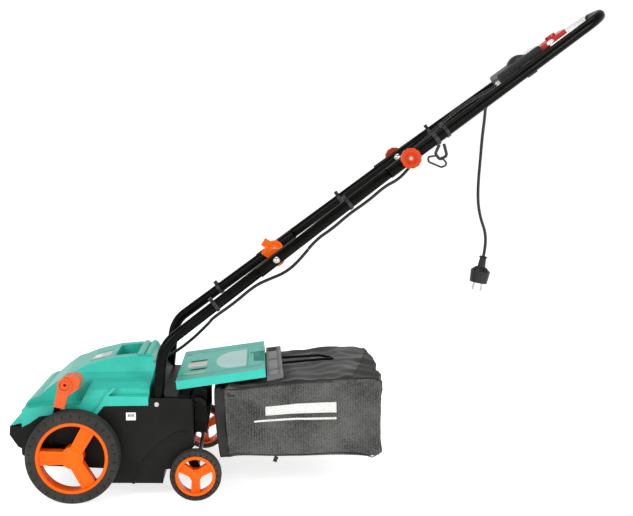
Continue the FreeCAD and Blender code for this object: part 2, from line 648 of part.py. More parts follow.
def handle():
    r = size("tube_d") / 2
    ri = r - size("tube_wall")
    bolt_r = size("joint_bolt_d") / 2
    lower_joint, upper_joint = size("lower_joint_s"), size("upper_joint_s")
    foot = Vector(size("foot_x"), -size("foot_y"), size("foot_z"))
    bend = on_handle(0, -lower_y(0))
    end = size("lower_end_s")
    lower = swept([foot, bend, on_handle(end, -lower_y(end))], [size("bend_r")], r, ri)
    foot_hole = Part.makeCylinder(4, 60, Vector(size("foot_x") + 1, -220, 206), Vector(0, 1, 0))
    side_pair("lower_tube", lower.cut(tube_hole(lower_joint, bolt_r + 0.02)).cut(foot_hole))
    start, end = size("middle_start_s"), size("middle_end_s")
    middle = swept([low_line(start, -middle_y(start)), low_line(end, -middle_y(end))], [], r, ri)
    middle = middle.cut(tube_hole(lower_joint, bolt_r + 0.08)).cut(tube_hole(upper_joint, bolt_r + 0.02))
    side_pair("middle_tube", middle)

    start, end = size("upper_start_s"), size("grip_end_s")
    corners = [grip_line(start, -grip_y(start)), grip_line(end, -grip_y(end)),
               grip_line(end, grip_y(end)), grip_line(start, grip_y(start))]
    grip_r = size("grip_tube_d") / 2
    bar = swept(corners, [size("grip_bend_r")] * 2, grip_r, grip_r - size("tube_wall"))
    node(shaped("grip_bar", bar.cut(tube_hole(upper_joint, bolt_r + 0.08))), "upper_handle")

    for name, s, outer_y, inner_y, head_r in (
            ("lower_joint_bolts", lower_joint, -(middle_y(lower_joint) + r + 1.9), -(lower_y(lower_joint) - r - 16), 7.5),
            ("upper_joint_bolts", upper_joint, -(middle_y(upper_joint) - r - 1.5), -(grip_y(upper_joint) + grip_r + 16), 8)):
        low, high = sorted((outer_y, inner_y))
        centre = on_handle(s, 0)
        shank = Part.makeCylinder(bolt_r, high - low, Vector(centre.x, low, centre.z), Vector(0, 1, 0))
        inward = 1 if outer_y > inner_y else -1
        ball = Part.makeSphere(head_r * 1.2, Vector(centre.x, outer_y - inward * head_r * 0.66, centre.z))
        disc = Part.makeCylinder(head_r, head_r, Vector(centre.x, outer_y - inward * 0.0, centre.z), Vector(0, inward, 0))
        one = shank.fuse(ball.common(disc))
        node(shaped(name, Part.Compound([one, mirror_y(one)])), name)

    wing_knobs(lower_joint, -(lower_y(lower_joint) - r - 1.6), bolt_r)
    round_knobs(upper_joint, -(grip_y(upper_joint) + grip_r + 1.4), bolt_r)

    left = fuse(rod("foot_x + 1", -200.4, "-foot_y + 12.2", 206, 3.95), rod("foot_x + 1", -202.4, -200.1, 206, 5))
    node(group(left, mirrored(left)), "foot_bolts")


def wing_knobs(s, face_y, bolt_r):
    """Round nut with one lever tab, on the inner side of each lower joint."""
    centre = on_handle(s, face_y)
    hub = Part.makeCylinder(9, 8, centre, Vector(0, 1, 0))
    disc = Part.makeCylinder(20, 12, centre + Vector(0, 6, 0), Vector(0, 1, 0))
    lip = Part.makeCylinder(15, 4, centre + Vector(0, 15, 0), Vector(0, 1, 0))
    tab = Part.makeBox(33, 10, 20, Vector(0, 7, -10))
    tab.rotate(Vector(0, 0, 0), Vector(0, 1, 0), -148)
    tab.translate(centre)
    knob = hub.fuse([disc, tab]).cut(lip)
    knob = knob.cut(Part.makeCylinder(bolt_r + 0.05, 60, centre - Vector(0, 10, 0), Vector(0, 1, 0)))
    side_pair("lower_wing_knob", knob)


def round_knobs(s, face_y, bolt_r):
    """Scalloped hand knob on the outer side of each upper joint."""
    centre = on_handle(s, face_y)
    out = Vector(0, -1, 0)
    hub = Part.makeCylinder(9, 6, centre, out)
    disc = Part.makeCylinder(22.5, 15, centre + out * 5, out)
    knob = hub.fuse(disc)
    for i in range(12):
        angle = math.radians(30 * i)
        spot = centre + Vector(24.6 * math.cos(angle), 0, 24.6 * math.sin(angle)) + out * 4
        knob = knob.cut(Part.makeCylinder(3.2, 18, spot, out))
    knob = knob.cut(Part.makeCone(9, 15, 6, centre + out * 14.5, out))
    knob = knob.cut(Part.makeCylinder(bolt_r + 0.05, 60, centre - out * 10, out))
    side_pair("upper_knob", knob)


# ---- Switch and cables ----

def along_handle(shape, s, y=0, lift=0):
    """Puts a shape drawn along local X (up the handle) and Z (out of its plane) on the handle."""
    shape = shape.copy()
    shape.rotate(Vector(0, 0, 0), Vector(0, -1, 0), angle_at(s))
    angle = math.radians(angle_at(s))
    shape.translate(on_handle(s, y) + Vector(-math.sin(angle), 0, math.cos(angle)) * lift)
    return shape


def handle_point(s, y, lift):
    angle = math.radians(angle_at(s))
    return on_handle(s, y) + Vector(-math.sin(angle), 0, math.cos(angle)) * lift


SWITCH_S = 1018


def switch():
    """Box between the grip's arms, with its lock button and its hinged switch lever."""
    length, width, low, high = 120, 96, -8, 28
    block = Part.makeBox(length, width, high - low, Vector(-length / 2, -width / 2, low))
    block = block.makeFillet(6, block.Edges)
    y_edge = grip_y(SWITCH_S)
    block = block.fuse([Part.makeBox(24, y_edge - width / 2 + 2, 8, Vector(-12, y, -4))
                        for y in (-y_edge, width / 2 - 2)])
    button_hole = Part.makeCylinder(26.4, 12, Vector(3, 0, high - 10), Vector(0, 0, 1))
    slot = Part.makeBox(30, 62, 20, Vector(length / 2 - 16, -31, high - 21))
    pin = Part.makeCylinder(3, 70, Vector(length / 2 - 7, -35, 16), Vector(0, 1, 0))
    block = block.cut(button_hole).cut(slot).fuse(pin)
    slope = math.degrees(math.atan(size("grip_lean")))
    tube_r = size("grip_tube_d") / 2
    clamp = Part.makeCylinder(tube_r + 2.6, 24, Vector(-12, 0, 0), Vector(1, 0, 0))
    clamp = clamp.cut(Part.makeCylinder(tube_r + 0.02, 30, Vector(-15, 0, 0), Vector(1, 0, 0)))
    clamp.rotate(Vector(0, 0, 0), Vector(0, 0, 1), -slope)
    clamp.translate(Vector(0, grip_y(SWITCH_S), 0))
    tubes = Part.makeCylinder(tube_r + 0.02, 60, Vector(-30, 0, 0), Vector(1, 0, 0))
    tubes.rotate(Vector(0, 0, 0), Vector(0, 0, 1), -slope)
    tubes.translate(Vector(0, grip_y(SWITCH_S), 0))
    clamp = clamp.common(Part.makeBox(60, 60, 80, Vector(-30, grip_y(SWITCH_S) - 60, -40)))
    block = block.fuse([clamp, mirror_y(clamp)]).cut(tubes).cut(mirror_y(tubes))
    node(shaped("switch", along_handle(block, SWITCH_S)), "switch_box")
    dome = Part.makeSphere(33, Vector(3, 0, high - 23))
    keep = Part.makeCylinder(26, 30, Vector(3, 0, high - 5), Vector(0, 0, 1))
    node(shaped("button", along_handle(dome.common(keep), SWITCH_S)), "lock_button")
    start = length / 2 - 12
    paddle = Part.makeBox(84, 60, 11, Vector(start, -30, 11))
    paddle = paddle.cut(Part.makeBox(40, 26, 20, Vector(start + 24, -13, 4)))
    bump = Part.makeCylinder(13, 17, Vector(start + 54, 0, 11.4), Vector(0, 0, 1))
    eye = Part.makeCylinder(3.06, 74, Vector(length / 2 - 7, -37, 16), Vector(0, 1, 0))
    paddle = paddle.fuse(bump).cut(eye)
    node(shaped("lever", along_handle(paddle, SWITCH_S)), "switch_lever")


def clips():
    """Plastic straps round the tubes, one on each side, one node per stage of the handle."""
    r = size("tube_d") / 2
    for label, s, y, tube_r in (("cable_clip_lower", 142, lower_y(142), r), ("cable_clip_middle", 511, middle_y(511), r),
                                ("cable_clip_upper", 781, grip_y(781), size("grip_tube_d") / 2)):
        slope = math.degrees(math.atan(size("handle_lean") if tube_r == r else size("grip_lean")))
        ring = Part.makeCylinder(tube_r + 2.4, 8, Vector(-4, 0, 0), Vector(1, 0, 0))
        ring = ring.fuse(Part.makeBox(8, 9, 8, Vector(-4, -4.5, tube_r + 1)))
        ring = ring.cut(Part.makeCylinder(tube_r + 0.02, 12, Vector(-6, 0, 0), Vector(1, 0, 0)))
        ring.rotate(Vector(0, 0, 0), Vector(0, 0, 1), -slope)
        far = along_handle(ring, s, y)
        node(shaped("clips", Part.Compound([far, mirror_y(far)])), label)


def motor_cable():
    """The lead between motor and switch: held along the left tubes, with slack at the fold."""
    r = size("cable_d") / 2
    drop = -(size("tube_d") / 2 + r + 2.8)

    def under(s, y, slack=0):
        return handle_point(s, y, drop - slack)

    lower = [Vector(152, -20, 262), Vector(196, -20, 282), Vector(245, -60, 322), Vector(291, -110, 372),
             under(120, -lower_y(120)), under(180, -lower_y(180), 3), under(235, -lower_y(235)),
             handle_point(270, -146, -26), handle_point(306, -141, -36.5), handle_point(345, -140, -35),
             handle_point(380, -141, -26)]
    middle = [handle_point(381.4, -141.3, -25.4), under(408, -middle_y(408)), under(450, -middle_y(450), 3),
              under(500, -middle_y(500)), under(550, -middle_y(550), 3), under(600, -middle_y(600)),
              handle_point(632, -110, -25), handle_point(662, -99, -22), handle_point(690, -88, -15),
              handle_point(712, -80, 1), handle_point(734, -74.5, 8)]
    node(shaped("lead", swept(lower, arc_radii(lower), r)), "motor_cable_lower")
    node(shaped("lead", swept(middle, arc_radii(middle), r)), "motor_cable_middle")
    upper = [handle_point(735.4, -74.2, 8.4), handle_point(764, -69, 13), handle_point(800, -60, 16.5),
             handle_point(848, -44, 18), handle_point(900, -26, 14), handle_point(SWITCH_S - 61, -16, 6)]
    node(shaped("lead", swept(upper, arc_radii(upper), r)), "motor_cable_upper")


CORD = [(944.6, 0, 878.2), (929.7, 0, 859.5), (928.2, 0, 832), (922.6, 0, 784), (919, 0, 732), (914.8, 0, 680),
        (914.8, 0, 632), (922, 1, 596), (933, 0, 566), (934.4, -1, 534), (929.6, 0, 508)]


def mains_cord():
    """Short free lead with its plug, hanging from the underside of the switch box."""
    r = size("cable_d") / 2
    route = [Vector(*p) for p in CORD]
    radii = arc_radii(route)
    lead = swept(route, radii, r)
    wire = rounded(route, radii)
    print("mains cord arcs", [round(x, 1) for x in radii])
    print("mains cord length", round(wire.Length, 1), "volume ratio", round(lead.Volume / (math.pi * r * r * wire.Length), 4))
    node(shaped("mains", lead), "mains_cord")
    end, before = route[-1], route[-2]
    down = (end - before).normalize()
    flange = Part.makeCone(8, 10.5, 3, end, down)
    neck = Part.makeCone(7.4, 9.5, 26, end + down * 2.6, down)
    shoulder = Part.makeCone(13, 23, 9, end + down * 26, down)
    body = Part.makeCone(23, 20.5, 28, end + down * 35, down)
    node(shaped("plug", flange.fuse([neck, shoulder, body])), "plug_body")
    across = down.cross(Vector(0, 1, 0)).normalize()
    pins = [Part.makeCylinder(2.4, 19, end + down * 63.01 + across * (9.5 * sign), down) for sign in (-1, 1)]
    node(shaped("pins", Part.Compound(pins)), "plug_pins")
    start, after = route[0], route[1]
    up = (start - after).normalize()
    node(shaped("relief", Part.makeCone(4.6, 8, 26, start, up)), "strain_relief")


def cord_hook():
    """Strap and wire loop that hang from the left arm and take the pull of an extension lead."""
    place = 752
    y = -grip_y(place)
    tube_r = size("grip_tube_d") / 2
    band = Part.makeCylinder(tube_r + 3, 10, Vector(-5, 0, 0), Vector(1, 0, 0))
    band = band.cut(Part.makeCylinder(tube_r + 0.05, 12, Vector(-6, 0, 0), Vector(1, 0, 0)))
    band.rotate(Vector(0, 0, 0), Vector(0, 0, 1), math.degrees(math.atan(size("grip_lean"))))
    band = along_handle(band, place, y)
    root = handle_point(place, y, -tube_r - 2.8)
    strap = [root, root + Vector(-9, 0, -20), root + Vector(2, 0, -34), root + Vector(17, 0, -24), root + Vector(10, 0, 2)]
    loop = [root + Vector(-3, 0, -24), root + Vector(-25, 0, -27), root + Vector(-24, 0, -38), root + Vector(5, 0, -50),
            root + Vector(20, 0, -44), root + Vector(4, 0, -27)]
    solid = band.fuse([swept(strap, [7, 7, 7], 3.4), swept(loop, [4.5, 5, 5, 6], 2.2)])
    node(shaped("hook", solid), "cord_hook")


# ---- Catch bag ----

def bag():
    side = [(310, 236), (298, 150), (322, 80), (668, 84), (674, 103), (667, 262), (460, 258), (425, 249)]
    inner = [(290, 230), (290, 90), (324, 84), (664, 88), (670, 103), (663, 257), (460, 253), (425, 244)]
    outside = plate("bag_outside", side, -200, 200)
    inside = plate("bag_inside", inner, -196, 196)
    node(cut(outside, inside), "bag_fabric")
    frame = [Vector(318, -188, 97), Vector(318, 188, 97), Vector(318, 188, 224), Vector(318, -188, 224)]
    loop = swept(frame[:1] + frame[1:] + [Vector(318, -188, 106)], [14, 14, 14], 3)
    node(shaped("frame", loop), "bag_frame")
    collar = plate("collar", [(419, 251.5), (455, 259.3), (455, 267), (419, 263)], -184, 184)
    node(collar, "bag_collar")
    loop = [Vector(455.2, -34, 264.6), Vector(545, -26, 271), Vector(582, 0, 267.4), Vector(545, 26, 271), Vector(455.2, 34, 264.6)]
    node(shaped("handle", swept(loop, [20, 10, 20], 3)), "bag_handle")


def check_and_write():
    doc.recompute()
    for obj in doc.Objects:
        if "Invalid" in obj.State or "Error" in obj.State:
            raise SystemExit(f"{obj.Name} {obj.Label} failed: {obj.State}")
    os.makedirs("parts", exist_ok=True)
    for obj in nodes:
        shape = obj.Shape
        if shape.isNull() or not shape.isValid() or not shape.Solids:
            raise SystemExit(f"{obj.Label} has no valid solid")
        shape.exportStep(f"parts/{obj.Label}.step")
    print(len(nodes), "nodes")


wheels()
depth_adjuster()
chassis()
hood()
drive()
flap()
handle()
switch()
clips()
motor_cable()
mains_cord()
cord_hook()
bag()
check_and_write()
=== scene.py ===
"""Looks of the lawn dethatcher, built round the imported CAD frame. Distances are in metres."""

import json
import math

import bmesh
import bpy
from mathutils import Matrix, Vector, noise


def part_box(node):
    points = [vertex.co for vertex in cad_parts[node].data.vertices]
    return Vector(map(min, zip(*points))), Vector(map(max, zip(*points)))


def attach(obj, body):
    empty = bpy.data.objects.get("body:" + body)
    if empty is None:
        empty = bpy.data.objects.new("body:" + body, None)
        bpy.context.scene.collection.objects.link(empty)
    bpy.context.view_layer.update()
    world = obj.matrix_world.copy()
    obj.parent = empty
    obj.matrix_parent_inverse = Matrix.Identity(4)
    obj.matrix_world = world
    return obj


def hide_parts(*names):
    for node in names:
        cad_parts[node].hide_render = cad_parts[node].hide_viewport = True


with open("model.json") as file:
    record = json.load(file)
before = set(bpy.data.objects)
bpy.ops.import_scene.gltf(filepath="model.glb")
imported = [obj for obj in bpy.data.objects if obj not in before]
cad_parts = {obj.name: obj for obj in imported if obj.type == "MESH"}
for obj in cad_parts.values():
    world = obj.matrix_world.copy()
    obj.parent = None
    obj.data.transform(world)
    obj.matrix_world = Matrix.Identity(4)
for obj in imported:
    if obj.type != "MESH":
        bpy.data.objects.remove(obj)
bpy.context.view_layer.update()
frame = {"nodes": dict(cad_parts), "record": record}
NODES = frame["nodes"]
AXLE_X = sum(corner.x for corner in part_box("front_tyre_left")) / 2


def at(x, y, z):
    """A point given in millimetres from the front axle's place on the ground."""
    return Vector((AXLE_X + x / 1000, y / 1000, z / 1000))


# ---- Camera ----

SENSOR_WIDTH = 36
FOCAL_IN_WIDTHS = 1200 / 633
TILT_DOWN = 0.0964
TURN = -0.0485

camera_data = bpy.data.cameras.new("camera")
camera_data.sensor_width = SENSOR_WIDTH
camera_data.lens = FOCAL_IN_WIDTHS * SENSOR_WIDTH
camera = bpy.data.objects.new("camera", camera_data)
bpy.context.scene.collection.objects.link(camera)
camera.location = at(401.36, -2786.49, 775.29)
camera.rotation_euler = (math.pi / 2 - TILT_DOWN, 0, TURN)
bpy.context.scene.camera = camera

# ---- Places on the folding handle, in millimetres ----

FOOT_X, FOOT_Z = 192, 331.8     # where the straight part of the lower tubes starts
UPPER_JOINT = 680               # its distance up the handle from there
HANDLE_ANGLE = math.radians(36.84)
GRIP_ANGLE = math.radians(36.84 - 0.9)


def on_handle(s, y, lift):
    """The point s up the handle and lift out of its plane; the grip stage leans a little lower."""
    low = min(s, UPPER_JOINT)
    angle = GRIP_ANGLE if s > UPPER_JOINT else HANDLE_ANGLE
    x = FOOT_X + low * math.cos(HANDLE_ANGLE) + (s - low) * math.cos(GRIP_ANGLE)
    z = FOOT_Z + low * math.sin(HANDLE_ANGLE) + (s - low) * math.sin(GRIP_ANGLE)
    return at(x - lift * math.sin(angle), y, z + lift * math.cos(angle))


def lower_y(s):
    """Distance of a lower tube from the middle plane; the tubes lean inwards."""
    return 183.4 - 0.15 * s


def middle_y(s):
    return lower_y(s) + 27.6


# ---- Cords: the same points as in the CAD, in millimetres ----

CORD_DIAMETER = 0.007
TUBE_RADIUS, CORD_RADIUS, CORD_GAP = 12, 3.5, 2.8


def under(s, y, slack=0):
    """A cord's place below the near tube."""
    return on_handle(s, -y, -(TUBE_RADIUS + CORD_RADIUS + CORD_GAP) - slack)


MAINS = [at(*point) for point in (
    (944.6, 0, 878.2), (929.7, 0, 859.5), (928.2, 0, 832), (922.6, 0, 784), (919, 0, 732),
    (914.8, 0, 680), (914.8, 0, 632), (922, 1, 596), (933, 0, 566), (934.4, -1, 534),
    (929.6, 0, 508))]
LEAD_LOWER = [
    at(152, -20, 262), at(196, -20, 282), at(245, -60, 322), at(291, -110, 372),
    under(120, lower_y(120)), under(180, lower_y(180), 3), under(235, lower_y(235)),
    on_handle(270, -146, -26), on_handle(306, -141, -36.5), on_handle(345, -140, -35),
    on_handle(380, -141, -26)]
LEAD_MIDDLE = [
    on_handle(381.4, -141.3, -25.4), under(408, middle_y(408)), under(450, middle_y(450), 3),
    under(500, middle_y(500)), under(550, middle_y(550), 3), under(600, middle_y(600)),
    on_handle(632, -110, -25), on_handle(662, -99, -22), on_handle(690, -88, -15),
    on_handle(712, -80, 1), on_handle(734, -74.5, 8)]
LEAD_UPPER = [
    on_handle(735.4, -74.2, 8.4), on_handle(764, -69, 13), on_handle(800, -60, 16.5),
    on_handle(848, -44, 18), on_handle(900, -26, 14), on_handle(957, -16, 6)]


# ---- Materials ----

def new_material(name):
    material = bpy.data.materials.new(name)
    material.use_nodes = True
    tree = material.node_tree
    return material, tree, tree.nodes["Principled BSDF"]


def add(tree, kind, **values):
    """New node; each value goes to the input of that name, or else to the node's own property."""
    item = tree.nodes.new(kind)
    for key, value in values.items():
        if key in item.inputs:
            item.inputs[key].default_value = value
        else:
            setattr(item, key, value)
    return item


def position(tree):
    return add(tree, "ShaderNodeTexCoord").outputs["Object"]


def textured(tree, where, kind, **values):
    """Strength of a texture over the surface."""
    texture = add(tree, kind, **values)
    tree.links.new(where, texture.inputs["Vector"])
    return texture.outputs["Fac"]


def two_tone(tree, source, low, high, start, end):
    """Colour that goes from low to high as the source goes from start to end."""
    ramp = add(tree, "ShaderNodeValToRGB")
    stops = ramp.color_ramp.elements
    stops[0].position = start
    stops[1].position = end
    stops[0].color = (*low, 1)
    stops[1].color = (*high, 1)
    tree.links.new(source, ramp.inputs["Fac"])
    return ramp.outputs["Color"]


def mottled(tree, where, low, high, scale, detail=4.0):
    """Colour that drifts between two tones."""
    spots = textured(tree, where, "ShaderNodeTexNoise", Scale=scale, Detail=detail)
    return two_tone(tree, spots, low, high, 0.35, 0.65)


def range_of(tree, source, low, high):
    spread = add(tree, "ShaderNodeMapRange")
    spread.inputs["To Min"].default_value = low
    spread.inputs["To Max"].default_value = high
    tree.links.new(source, spread.inputs["Value"])
    return spread.outputs["Result"]


def scaled_sum(tree, source, factor, base):
    """source * factor + base."""
    total = add(tree, "ShaderNodeMath", operation="MULTIPLY_ADD")
    tree.links.new(source, total.inputs[0])
    total.inputs[1].default_value = factor
    tree.links.new(base, total.inputs[2])
    return total.outputs[0]


def bumped(tree, shader, height, strength, distance=0.001):
    bump = add(tree, "ShaderNodeBump", Strength=strength, Distance=distance)
    tree.links.new(height, bump.inputs["Height"])
    tree.links.new(bump.outputs["Normal"], shader.inputs["Normal"])


def plastic(name, low, high, rough, grain=900, bump=0.08, coat=0.0, drift=14, shine=0.5):
    """Moulded plastic: slow colour drift, fine grain, uneven gloss."""
    material, tree, shader = new_material(name)
    shader.inputs["Specular IOR Level"].default_value = shine
    where = position(tree)
    tree.links.new(mottled(tree, where, low, high, drift), shader.inputs["Base Color"])
    fine = textured(tree, where, "ShaderNodeTexNoise", Scale=grain, Detail=2.0)
    wide = textured(tree, where, "ShaderNodeTexNoise", Scale=40.0, Detail=6.0)
    gloss = range_of(tree, wide, rough - 0.06, rough + 0.08)
    tree.links.new(gloss, shader.inputs["Roughness"])
    bumped(tree, shader, fine, bump)
    shader.inputs["Coat Weight"].default_value = coat
    shader.inputs["Coat Roughness"].default_value = 0.15
    return material


def metal(name, low, high, rough, metallic=1.0, grain=300, shine=0.5, ior=1.5):
    material = plastic(name, low, high, rough, grain, bump=0.04, drift=60, shine=shine)
    shader = material.node_tree.nodes["Principled BSDF"]
    shader.inputs["Metallic"].default_value = metallic
    shader.inputs["IOR"].default_value = ior
    return material


def mesh_cloth(name, dark, light, ribs=0.35):
    """Woven net: bright thread specks on dark holes, faint upright ribs, rubbed places."""
    material, tree, shader = new_material(name)
    where = position(tree)
    speck = textured(tree, where, "ShaderNodeTexNoise", Scale=360.0, Detail=3.0, Roughness=0.75)
    rib = textured(tree, where, "ShaderNodeTexWave", wave_type="BANDS", bands_direction="X",
                   Scale=55.0, Distortion=1.5)
    worn = textured(tree, where, "ShaderNodeTexNoise", Scale=13.0, Detail=5.0)
    patched = scaled_sum(tree, worn, 0.6, scaled_sum(tree, rib, ribs * 0.3, speck))
    tree.links.new(two_tone(tree, patched, dark, light, 0.62, 0.98), shader.inputs["Base Color"])
    shader.inputs["Roughness"].default_value = 0.6
    shader.inputs["Specular IOR Level"].default_value = 0.25
    shader.inputs["Sheen Weight"].default_value = 0.12
    shader.inputs["Sheen Roughness"].default_value = 0.4
    bumped(tree, shader, patched, 0.5, 0.0008)
    return material


def print_material(name, base, mark, scale, rough=0.35):
    """Printed sticker: an even tint with faint soiling."""
    material, tree, shader = new_material(name)
    tint = mottled(tree, position(tree), base, mark, scale, 3.0)
    tree.links.new(tint, shader.inputs["Base Color"])
    shader.inputs["Roughness"].default_value = rough
    return material


def by_name(make, rows):
    """Materials from rows of a name, its two tones, and the rest of what make takes."""
    return {name: make(name, *values, **options) for name, values, options in rows}


# Materials of the record's slots
MATERIALS = by_name(plastic, (
    ("housing_black", ((0.004, 0.0043, 0.0034), (0.008, 0.0083, 0.0066), 0.46, 700, 0.12),
     {"shine": 0.14}),
    ("hood_mint", ((0.020, 0.42, 0.33), (0.027, 0.47, 0.375), 0.36, 1100, 0.05, 0.05),
     {"shine": 0.3}),
    ("orange_plastic", ((0.76, 0.10, 0.0), (0.84, 0.118, 0.0005), 0.33, 900, 0.05),
     {"shine": 0.16}),
    ("lever_orange", ((0.62, 0.09, 0.016), (0.70, 0.11, 0.024), 0.36, 900, 0.06), {"shine": 0.2}),
    ("knob_red", ((0.46, 0.034, 0.003), (0.56, 0.05, 0.006), 0.35, 800, 0.06), {"shine": 0.2}),
    ("trigger_red", ((0.42, 0.012, 0.008), (0.52, 0.02, 0.012), 0.28, 800, 0.04, 0.3), {}),
    ("tyre_black", ((0.016, 0.0155, 0.013), (0.034, 0.033, 0.029), 0.72, 500, 0.25),
     {"shine": 0.25}),
    ("belt_rubber", ((0.01, 0.01, 0.01), (0.02, 0.02, 0.02), 0.7, 400, 0.3), {"shine": 0.2}),
    ("bag_trim", ((0.05, 0.05, 0.052), (0.10, 0.10, 0.10), 0.45), {}),
    ("cable_black", ((0.006, 0.006, 0.006), (0.012, 0.012, 0.012), 0.42, 600, 0.1),
     {"shine": 0.3}),
    ("fitting_black", ((0.008, 0.008, 0.008), (0.016, 0.016, 0.016), 0.4, 700, 0.12),
     {"shine": 0.35}),
))
MATERIALS |= by_name(metal, (
    ("tube_black", ((0.0015, 0.0014, 0.0012), (0.0035, 0.0033, 0.0028), 0.24, 0.0, 120),
     {"shine": 0.3, "ior": 1.22}),
    ("steel", ((0.40, 0.40, 0.39), (0.55, 0.55, 0.54), 0.3), {}),
    ("motor_metal", ((0.12, 0.12, 0.12), (0.18, 0.18, 0.18), 0.5), {}),
    ("spring_steel", ((0.2, 0.2, 0.21), (0.32, 0.32, 0.33), 0.35), {}),
))
MATERIALS["bag_mesh"] = mesh_cloth("bag_mesh", (0.004, 0.004, 0.0036), (0.098, 0.098, 0.092))

# Materials of the details added here
EXTRA = by_name(print_material, (
    ("sticker_white", ((0.86, 0.86, 0.86), (0.74, 0.74, 0.74), 60.0), {}),
    ("sticker_grey", ((0.09, 0.09, 0.09), (0.16, 0.16, 0.16), 90.0), {}),
    ("label_pale", ((0.40, 0.64, 0.60), (0.45, 0.69, 0.65), 20.0, 0.4), {}),
    ("label_pink", ((0.66, 0.40, 0.36), (0.50, 0.62, 0.58), 120.0), {}),
    ("strip_yellow", ((0.55, 0.62, 0.25), (0.40, 0.60, 0.34), 90.0), {}),
    ("bag_print", ((0.70, 0.70, 0.68), (0.52, 0.52, 0.50), 400.0, 0.7), {}),
))
EXTRA |= by_name(plastic, (
    # Painted shade: dark teal standing for the shade in the flap's recess.
    ("recess_teal", ((0.0, 0.20, 0.145), (0.001, 0.23, 0.17), 0.5), {"shine": 0.1}),
    # Painted shade: darker teal for the shade inside grooves, panel lines and the recess.
    ("groove_teal", ((0.012, 0.22, 0.17), (0.02, 0.27, 0.21), 0.5), {"shine": 0.2}),
    # Painted shade: near black for openings that lie in shade.
    ("gap_black", ((0.01, 0.012, 0.011), (0.02, 0.022, 0.02), 0.6), {"shine": 0.2}),
    ("collar_grey", ((0.13, 0.13, 0.14), (0.19, 0.19, 0.2), 0.42, 700, 0.1), {}),
    ("gland_clear", ((0.45, 0.45, 0.46), (0.62, 0.62, 0.62), 0.25, 300, 0.1, 0.3), {}),
    ("bag_patch", ((0.028, 0.028, 0.026), (0.05, 0.05, 0.047), 0.6, 500, 0.3), {"shine": 0.2}),
    ("bag_binding", ((0.006, 0.006, 0.006), (0.02, 0.02, 0.019), 0.6, 500, 0.3),
     {"shine": 0.25}),
    ("film_pale", ((0.62, 0.62, 0.62), (0.80, 0.80, 0.80), 0.3, 300, 0.15, 0.2), {}),
))
# Painted shade: the same net in darker tones, for the bag's top.
EXTRA["bag_top_shaded_mesh"] = mesh_cloth("bag_top_shaded_mesh", (0.0015, 0.0015, 0.0015),
                                   (0.055, 0.055, 0.052), 0.0)

slot_of = {row["node"]: row["material_slot"] for row in frame["record"]["subparts"]}
slot_of["rear_axle"] = "tube_black"     # black like the tubes, where the record says steel
for name, obj in NODES.items():
    for slot in obj.material_slots:
        slot.material = MATERIALS[slot_of[name]]


# ---- Pieces ----

def dress(obj, material, body):
    """Puts a new piece in the scene, with its material and its body."""
    bpy.context.scene.collection.objects.link(obj)
    obj.data.materials.append(material)
    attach(obj, body)
    return obj


def from_bmesh(name, bm, material, body, smooth=False):
    mesh = bpy.data.meshes.new(name)
    bmesh.ops.recalc_face_normals(bm, faces=bm.faces)
    bm.to_mesh(mesh)
    bm.free()
    for face in mesh.polygons:
        face.use_smooth = smooth
    return dress(bpy.data.objects.new(name, mesh), material, body)


def tube(name, points, radius, kind, rings):
    """Round tube along points, as a curve object; kind is POLY or NURBS."""
    data = bpy.data.curves.new(name, "CURVE")
    data.dimensions = "3D"
    data.bevel_depth = radius
    data.bevel_resolution = rings
    data.use_fill_caps = True
    spline = data.splines.new(kind)
    spline.points.add(len(points) - 1)
    for spot, point in zip(spline.points, points):
        spot.co = (*point, 1)
    if kind == "NURBS":
        data.resolution_u = 16
        spline.order_u = 3
        spline.use_endpoint_u = True
    return bpy.data.objects.new(name, data)


def rounded_block(name, place, sizes, turn, bevel, material, body):
    """Small block with rounded edges: place in metres, sizes in millimetres, turn about Y."""
    bm = bmesh.new()
    bmesh.ops.create_cube(bm, size=1)
    bmesh.ops.scale(bm, vec=Vector(sizes) / 1000, verts=bm.verts)
    bmesh.ops.bevel(bm, geom=list(bm.edges), offset=bevel / 1000, segments=3, affect="EDGES")
    bmesh.ops.rotate(bm, matrix=Matrix.Rotation(turn, 3, "Y"), verts=bm.verts)
    bmesh.ops.translate(bm, vec=place, verts=bm.verts)
    return from_bmesh(name, bm, material, body)


def decal(name, outline, where, lift, thickness, material, body):
    """Thin plate over an outline of (u, y) points, put on a surface by where(u, y, lift)."""
    bm = bmesh.new()
    lower = [bm.verts.new(where(u, y, lift)) for u, y in outline]
    upper = [bm.verts.new(where(u, y, lift + thickness)) for u, y in outline]
    bm.faces.new(upper)
    bm.faces.new(list(reversed(lower)))
    for i in range(len(outline)):
        j = (i + 1) % len(outline)
        bm.faces.new((lower[i], lower[j], upper[j], upper[i]))
    return from_bmesh(name, bm, material, body)


def rectangle(u0, u1, y0, y1):
    return [(u0, y0), (u1, y0), (u1, y1), (u0, y1)]


def steps(low, high, count):
    return [low + (high - low) * i / count for i in range(count + 1)]


# ---- Cords ----

def lay_cord(name, points, body, node):
    obj = tube(name, points, CORD_DIAMETER / 2, "NURBS", 5)
    dress(obj, MATERIALS["cable_black"], body)
    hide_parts(node)


lay_cord("mains_lead", MAINS, "grip_handle", "mains_cord")
lay_cord("motor_lead_lower", LEAD_LOWER, "chassis", "motor_cable_lower")
lay_cord("motor_lead_middle", LEAD_MIDDLE, "middle_handle", "motor_cable_middle")
lay_cord("motor_lead_upper", LEAD_UPPER, "grip_handle", "motor_cable_upper")


# ---- Catch bag, shaped from a plain box in millimetres ----

BAG_LOW, BAG_HIGH = (303, -199, 82), (672, 199, 252)
BAG_CELLS = (82, 72, 40)        # of the cloth's mesh along x, y and z
HALF_WIDTH = 200
SIDE_ROUNDING, TOP_ROUNDING = 11, 7
MOUTH_HEIGHT, COLLAR_HEIGHT, COLLAR_X = 236, 249, 425
SKIN_LOW_Z, SKIN_HIGH = 77.5, (681, 199.6, 264)     # the cloth never passes these
